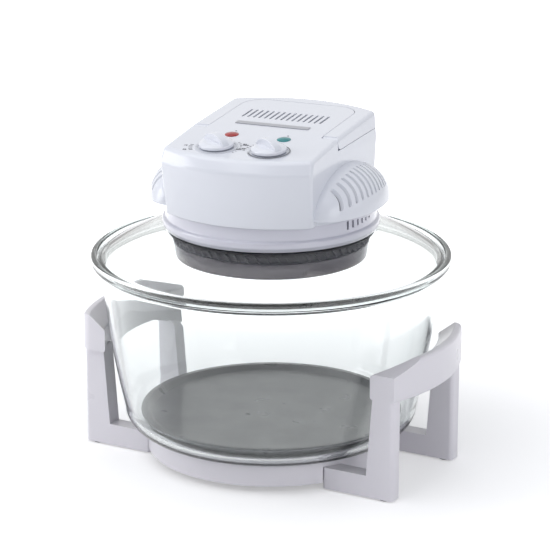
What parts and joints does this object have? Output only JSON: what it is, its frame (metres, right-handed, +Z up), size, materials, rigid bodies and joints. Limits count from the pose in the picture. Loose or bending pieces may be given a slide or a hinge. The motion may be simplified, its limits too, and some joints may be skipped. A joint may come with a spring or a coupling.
{
  "type": "halogen oven",
  "caption": "Countertop halogen oven: a round glass bowl in a plastic stand with side grips, and a powered head with fan, ring lamp, timer and thermostat set in a glass lid.",
  "frame": {"origin": "on the table, under the middle of the stand and bowl", "axes": "+X to the right grip frame, +Y to the back, +Z up; the head stands turned 7 degrees about +Z on the bowl"},
  "size_m": [0.356, 0.334, 0.3206],
  "materials": {
    "stand_plastic": "glossy pale grey-lilac plastic",
    "head_plastic": "glossy cool white plastic",
    "clear_glass": "clear thick glass",
    "tray_enamel": "grey coated steel, satin",
    "dark_chrome": "dark polished chrome",
    "black_plastic": "black plastic, glossy",
    "rubber": "matte",
    "steel": "satin",
    "quartz": "clear quartz tube",
    "aluminium": "bright",
    "ceramic": "unglazed ceramic",
    "bronze": "sintered bronze",
    "iron_laminations": "stacked laminations",
    "copper_coils": "enamelled wire",
    "inner_plastic": "plain moulded plastic",
    "dial_print": "grey print",
    "red_lens": "translucent red",
    "green_lens": "translucent blue-green",
    "lamp_glass": "small neon lamps",
    "strip_metal": "satin grey strip, bare"
  },
  "bodies": {
    "stand": {"base_ring": "stand_plastic", "handle_frame_right": "stand_plastic", "handle_frame_left": "stand_plastic", "foot_pads": "rubber", "frame_screws": "steel"},
    "bowl": {"glass_bowl": "clear_glass"},
    "tray": {"drip_tray": "tray_enamel"},
    "head": {"lid_glass": "clear_glass", "lid_seal": "rubber", "louvre_ring": "black_plastic", "chrome_ring": "dark_chrome", "guard_grille": "steel", "reflector": "aluminium", "halogen_tube": "quartz", "tube_socket": "ceramic", "tube_clips": "steel", "thermostat_bulb": "steel", "lower_bracket": "steel", "upper_bracket": "steel", "shaft_bushes": "bronze", "motor_stator": "iron_laminations", "motor_coils": "copper_coils", "motor_pillars": "steel", "motor_bulkhead": "steel", "bulkhead_screws": "steel", "thermal_cutout": "black_plastic", "terminal_block": "ceramic", "collar": "head_plastic", "clamp_screws": "steel", "casing_screws": "steel", "upper_casing": "head_plastic", "pivot_pins": "steel", "safety_switch": "black_plastic", "timer_body": "inner_plastic", "timer_bell": "steel", "thermostat_body": "steel", "dial_rings": "dial_print", "red_lens": "red_lens", "green_lens": "green_lens", "indicator_lamps": "lamp_glass", "name_strip": "strip_metal", "cord_gland": "black_plastic"},
    "handle": {"carry_handle": "head_plastic"},
    "timer_control": {"timer_knob": "head_plastic", "timer_shaft": "steel"},
    "thermostat_control": {"thermostat_knob": "head_plastic", "thermostat_shaft": "steel"},
    "rotor": {"drive_shaft": "steel", "motor_rotor": "iron_laminations", "convection_fan": "aluminium", "cooling_fan": "aluminium", "fan_nut": "steel"},
    "plunger": {"switch_plunger": "inner_plastic"}
  },
  "joints": [
    {"name": "bowl_lift", "type": "slide", "parent": "stand", "child": "bowl", "axis": [0, 0, 1], "range_m": [0, 0.15]},
    {"name": "tray_lift", "type": "slide", "parent": "bowl", "child": "tray", "axis": [0, 0, 1], "range_m": [0, 0.12]},
    {"name": "head_lift", "type": "slide", "parent": "bowl", "child": "head", "axis": [0, 0, 1], "range_m": [0, 0.2]},
    {"name": "handle_pivot", "type": "hinge", "parent": "head", "child": "handle", "pos_m": [0.00146, -0.01191, 0.3076], "axis": [0.9925, 0.1219, 0], "range_deg": [0, 80]},
    {"name": "timer_turn", "type": "hinge", "parent": "head", "child": "timer_control", "pos_m": [-0.01717, -0.0686, 0.3078], "axis": [-0.0121, 0.0988, -0.995], "range_deg": [0, 330]},
    {"name": "thermostat_turn", "type": "hinge", "parent": "head", "child": "thermostat_control", "pos_m": [0.03325, -0.06241, 0.3078], "axis": [-0.0121, 0.0988, -0.995], "range_deg": [0, 270]},
    {"name": "rotor_spin", "type": "hinge", "parent": "head", "child": "rotor", "pos_m": [0, 0, 0.25], "axis": [0, 0, 1], "continuous": true},
    {"name": "plunger_travel", "type": "slide", "parent": "head", "child": "plunger", "axis": [0, 0, 1], "range_m": [0, 0.0021]}
  ],
  "couplings": [
    {"joint": "plunger_travel", "follows": "handle_pivot", "m_per_rad": 0.00143}
  ]
}
